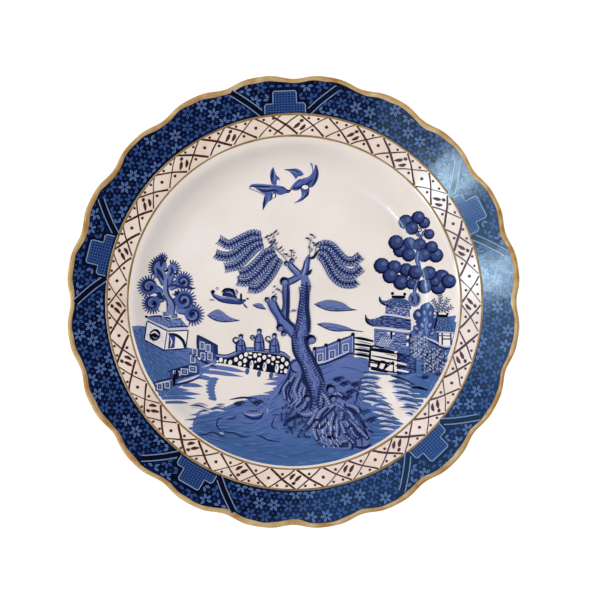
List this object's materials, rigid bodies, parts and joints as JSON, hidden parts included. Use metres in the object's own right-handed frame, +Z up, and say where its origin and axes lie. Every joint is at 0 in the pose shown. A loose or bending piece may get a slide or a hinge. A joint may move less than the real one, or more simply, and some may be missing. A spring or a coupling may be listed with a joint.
{
  "type": "dinner plate",
  "caption": "Round china dinner plate with a scalloped gilt edge, a sloping rim, a shallow round well and a foot ring.",
  "frame": {"origin": "centre of the foot ring's underside, on the surface that the plate stands on", "axes": "+Z up out of the well, +Y towards the top of the printed scene, +X to its right"},
  "size_m": [0.267, 0.267, 0.0236],
  "materials": {
    "china": "fired earthenware body, bare and matt on the foot ring",
    "clear_glaze": "glossy clear glaze over a warm white body",
    "blue_print": "cobalt transfer print under glossy glaze",
    "border_blue": "dark cobalt transfer print under glossy glaze",
    "ivory_ground": "ivory band, glossy",
    "brown_enamel": "red-brown enamel lines painted over the glaze",
    "gilding": "burnished gilding, worn a little on the crests"
  },
  "bodies": {
    "root": {"china_body": "china", "well_glaze": "clear_glaze", "rim_glaze": "clear_glaze", "back_glaze": "clear_glaze", "foot_recess_glaze": "clear_glaze", "centre_print": "blue_print", "border_print": "border_blue", "ivory_band": "ivory_ground", "lattice_enamel": "brown_enamel", "gilt_edge": "gilding", "gilt_line_outer": "gilding", "gilt_line_inner": "gilding"}
  },
  "joints": []
}
